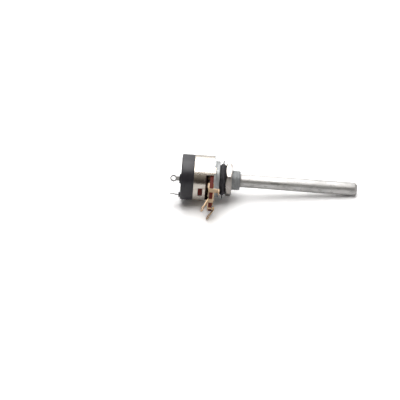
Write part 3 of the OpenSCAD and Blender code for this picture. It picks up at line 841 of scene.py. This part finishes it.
class POT_OT_switch(PieceOperator, bpy.types.Operator):
    """Round the housing's moulded edges and the tinned lugs"""
    bl_idname = "pot.switch"
    bl_label = "Switch"

    def execute(self, context):
        edges = context.scene.pot_edges
        eased_piece("switch_housing", edges.moulded)
        for node in ("upper_lug", "lower_lug", "switch_rivets"):
            eased_piece(node, edges.sheet)
        return {"FINISHED"}


class POT_OT_inner(PieceOperator, bpy.types.Operator):
    """Give every remaining solid its finish"""
    bl_idname = "pot.inner"
    bl_label = "Inner Pieces"

    def execute(self, context):
        standing = {o.name for o in context.scene.objects}
        for node, piece in frame["nodes"].items():
            if node + "_piece" in standing:
                continue
            piece.data.materials.clear()
            piece.data.materials.append(finish(slot_of(node)))
        return {"FINISHED"}


def table_frame(stage):
    """The table's right, back and up, and its middle, given in the part's own frame."""
    tilt = math.atan2(stage.rim_radius - stage.tip_radius, stage.tip_x - stage.rim_x)
    up = Vector((-math.sin(tilt), 0, math.cos(tilt)))
    ahead = Vector((math.cos(tilt), 0, math.sin(tilt)))
    across = Vector((0, 1, 0))
    right = math.cos(stage.yaw) * ahead - math.sin(stage.yaw) * across
    back = math.sin(stage.yaw) * ahead + math.cos(stage.yaw) * across
    rim = Vector((stage.rim_x, 0, -stage.rim_radius))
    height = -rim.dot(up)
    middle = -(stage.seat_right * right + stage.seat_back * back + height * up)
    return right, back, up, middle


def floor_material(colour, seen, fade_from, fade_to):
    """Pale table that keeps the shadow near the part and fades to plain white further out."""
    material = bpy.data.materials.new("Table")
    tree = cleared(material)
    length = tree.add("ShaderNodeVectorMath", {"operation": "LENGTH"})
    tree.put(length.inputs[0], tree.place())
    far = tree.spread(length.outputs["Value"], fade_from, fade_to)
    shown = tree.mix(tree.add("ShaderNodeLightPath").outputs["Is Camera Ray"], rgba(colour), rgba(seen))
    lit = tree.add("ShaderNodeBsdfDiffuse", Color=shown)
    white = tree.add("ShaderNodeEmission", Strength=1.0)
    surface = tree.mix_shaders(far, lit.outputs[0], white.outputs[0])
    clear = tree.add("ShaderNodeBsdfTransparent")
    below = tree.add("ShaderNodeNewGeometry").outputs["Backfacing"]
    output = tree.add("ShaderNodeOutputMaterial")
    tree.put(output.inputs["Surface"], tree.mix_shaders(below, surface, clear.outputs[0]))
    return material


def studio_world(stage, up):
    """Soft light, a little stronger overhead, and plain white to camera and mirror rays."""
    overhead_from, overhead_to = 0.62, 0.8
    world = bpy.data.worlds.new("Studio")
    tree = cleared(world)
    rise = tree.add("ShaderNodeVectorMath", {"operation": "DOT_PRODUCT"})
    tree.put(rise.inputs[0], tree.add("ShaderNodeTexCoord").outputs["Generated"])
    rise.inputs[1].default_value = up
    overhead = tree.spread(rise.outputs["Value"], overhead_from, overhead_to)
    tone = tree.mix(overhead, rgba([stage.sides] * 3), rgba([stage.overhead] * 3))
    studio = tree.add("ShaderNodeBackground", Color=tone, Strength=1.0)
    white = tree.add("ShaderNodeBackground", Color=(1, 1, 1, 1), Strength=1.0)
    path = tree.add("ShaderNodeLightPath").outputs
    mirrored = tree.math("MAXIMUM", path["Is Glossy Ray"], path["Is Transmission Ray"])
    seen = tree.math("MAXIMUM", path["Is Camera Ray"], mirrored)
    output = tree.add("ShaderNodeOutputWorld")
    tree.put(output.inputs["Surface"], tree.mix_shaders(seen, studio.outputs[0], white.outputs[0]))
    return world


def card_material(foot, top, height):
    """A glow that goes from one tone in the card's lower part to another at its upper edge."""
    material = bpy.data.materials.new("Dim card")
    tree = cleared(material)
    rise = tree.apart(tree.place())["Z"]
    tone = tree.mix(tree.spread(rise, 0.4 * height, height), rgba(foot), rgba(top))
    glow = tree.add("ShaderNodeEmission", Color=tone, Strength=1.0)
    output = tree.add("ShaderNodeOutputMaterial")
    tree.put(output.inputs["Surface"], glow.outputs[0])
    return material


def card_ring(name, matrix, radius, low, front, back):
    """A ring of card that only mirror rays see, with one height in front and another behind."""
    around = 96
    rows = 12
    bm = bmesh.new()
    grid = []
    for row in range(rows + 1):
        circle = []
        for step in range(around):
            turn = 2 * math.pi * step / around
            facing = 0.5 - 0.5 * math.sin(turn)
            top = back + (front - back) * facing
            rise = low + (top - low) * row / rows
            flat = radius * math.cos(rise)
            corner = (flat * math.cos(turn), flat * math.sin(turn), radius * math.sin(rise))
            circle.append(bm.verts.new(corner))
        grid.append(circle)
    for under, over in zip(grid, grid[1:]):
        for step in range(around):
            after = (step + 1) % around
            bm.faces.new((under[step], over[step], over[after], under[after]))
    card = into_object(bm, name)
    card.matrix_world = matrix
    card.visible_camera = False
    card.visible_diffuse = False
    card.visible_shadow = False
    return card


def aimed(position, target, up):
    """A camera or lamp matrix at a position, looking at a target."""
    look = (target - position).normalized()
    side = look.cross(up).normalized()
    lift = side.cross(look)
    turn = Matrix((side, lift, -look)).transposed()
    return Matrix.Translation(position) @ turn.to_4x4()


def area_lamp(name, matrix, width, height, power):
    data = bpy.data.lights.new(name, "AREA")
    data.shape = "RECTANGLE"
    data.size = width
    data.size_y = height
    data.energy = power
    lamp = bpy.data.objects.new(name, data)
    lamp.matrix_world = matrix
    bpy.context.scene.collection.objects.link(lamp)


class POT_OT_stage(PieceOperator, bpy.types.Operator):
    """Set the table, the lamps and the camera"""
    bl_idname = "pot.stage"
    bl_label = "Stage"

    def execute(self, context):
        stage = context.scene.pot_stage
        right, back, up, middle = table_frame(stage)
        bm = bmesh.new()
        bmesh.ops.create_grid(bm, x_segments=1, y_segments=1, size=stage.floor_reach)
        floor = into_object(bm, "table")
        table = Matrix.Translation(middle) @ Matrix((right, back, up)).transposed().to_4x4()
        floor.matrix_world = table
        floor.data.materials.append(floor_material(
            stage.floor_colour, stage.floor_seen, stage.fade_from, stage.fade_to))
        radius = stage.card_radius
        dim = card_ring("dim_card", table, radius, stage.card_low, stage.card_front, stage.card_back)
        dim.data.materials.append(card_material(
            stage.card_foot, stage.card_colour, radius * math.sin(stage.card_front)))

        sight = math.sin(stage.elevation) * up - math.cos(stage.elevation) * back
        eye = middle + stage.distance * sight
        camera = bpy.data.objects.new("camera", bpy.data.cameras.new("camera"))
        camera.data.lens = stage.lens
        camera.data.sensor_width = 36
        camera.data.clip_start = 0.01
        camera.matrix_world = aimed(eye, middle, up) @ Matrix.Rotation(-stage.roll, 4, "Z")
        context.scene.collection.objects.link(camera)
        context.scene.camera = camera

        seat = middle + stage.seat_right * right
        over = seat + stage.key_height * up + stage.key_back * back
        # The softbox's X axis runs from front to back, so its depth comes first.
        area_lamp("softbox", aimed(over, seat, right), stage.key_depth, stage.key_width, stage.key_power)
        behind = seat + stage.back_height * up + stage.back_away * back
        area_lamp(
            "back_lamp", aimed(behind, seat, up), stage.back_width, stage.back_face, stage.back_power)
        context.scene.world = studio_world(stage, up)
        context.scene.view_settings.view_transform = "Standard"
        return {"FINISHED"}


class POT_PT_panel(bpy.types.Panel):
    bl_label = "Rotary Potentiometer"
    bl_idname = "POT_PT_panel"
    bl_space_type = "VIEW_3D"
    bl_region_type = "UI"
    bl_category = "Potentiometer"

    def draw(self, context):
        for operator in OPERATORS:
            self.layout.operator(operator.bl_idname)
        for group, settings in GROUPS.items():
            box = self.layout.box()
            for name in settings.__annotations__:
                box.prop(getattr(context.scene, group), name)


OPERATORS = (
    POT_OT_stage, POT_OT_bushing, POT_OT_can, POT_OT_hardware, POT_OT_terminals, POT_OT_switch,
    POT_OT_inner)
CLASSES = (*GROUPS.values(), *OPERATORS, POT_PT_panel)


def register():
    for cls in CLASSES:
        bpy.utils.register_class(cls)
    for name, settings in GROUPS.items():
        setattr(bpy.types.Scene, name, PointerProperty(type=settings))


def unregister():
    for name in GROUPS:
        delattr(bpy.types.Scene, name)
    for cls in reversed(CLASSES):
        bpy.utils.unregister_class(cls)


def main():
    register()
    bpy.ops.pot.stage()
    bpy.ops.pot.bushing()
    bpy.ops.pot.can()
    bpy.ops.pot.hardware()
    bpy.ops.pot.terminals()
    bpy.ops.pot.switch()
    bpy.ops.pot.inner()


if __name__ == "__main__":
    main()
